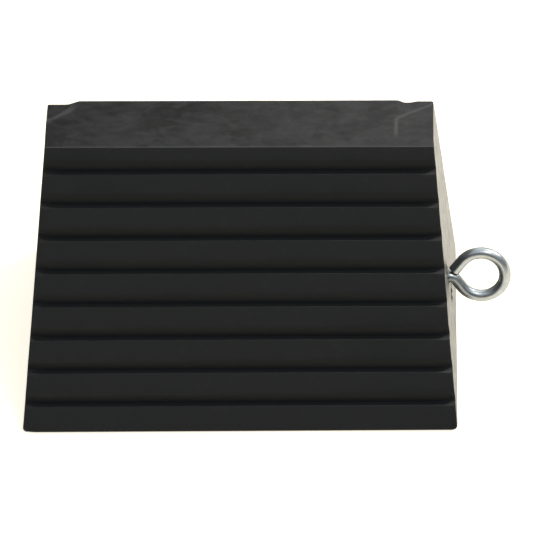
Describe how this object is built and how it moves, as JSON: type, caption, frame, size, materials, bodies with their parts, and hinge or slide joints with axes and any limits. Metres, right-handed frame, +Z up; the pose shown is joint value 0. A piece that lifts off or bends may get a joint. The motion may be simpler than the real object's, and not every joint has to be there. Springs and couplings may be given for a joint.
{
  "type": "wheel chock",
  "caption": "Solid moulded rubber wheel chock: a wedge with a ribbed slope, a flat top land and drafted ends, with a bent-wire eye bolt in one end for a chain or hand line.",
  "frame": {"origin": "centre of the flat base's full outline, on the floor", "axes": "+Z up; the ribbed slope faces -Y towards the wheel; the eye bolt is in the +X end"},
  "size_m": [0.2283, 0.1212, 0.0995],
  "materials": {
    "black_rubber": "moulded black rubber, semi-matt, dusty on the top land, smooth on the drafted ends",
    "zinc_plate": "bright zinc-plated steel wire",
    "anchor_steel": "plain steel, bonded inside the rubber"
  },
  "bodies": {
    "block": {"rubber_block": "black_rubber", "anchor_washer": "anchor_steel", "anchor_nut": "anchor_steel"},
    "eye": {"eye_bolt": "zinc_plate"}
  },
  "joints": [
    {"name": "eye_turn", "type": "hinge", "parent": "block", "child": "eye", "pos_m": [0.09797, 0.00895, 0.0329], "axis": [0.994, 0, 0.1097], "range_deg": [-180, 180]}
  ]
}
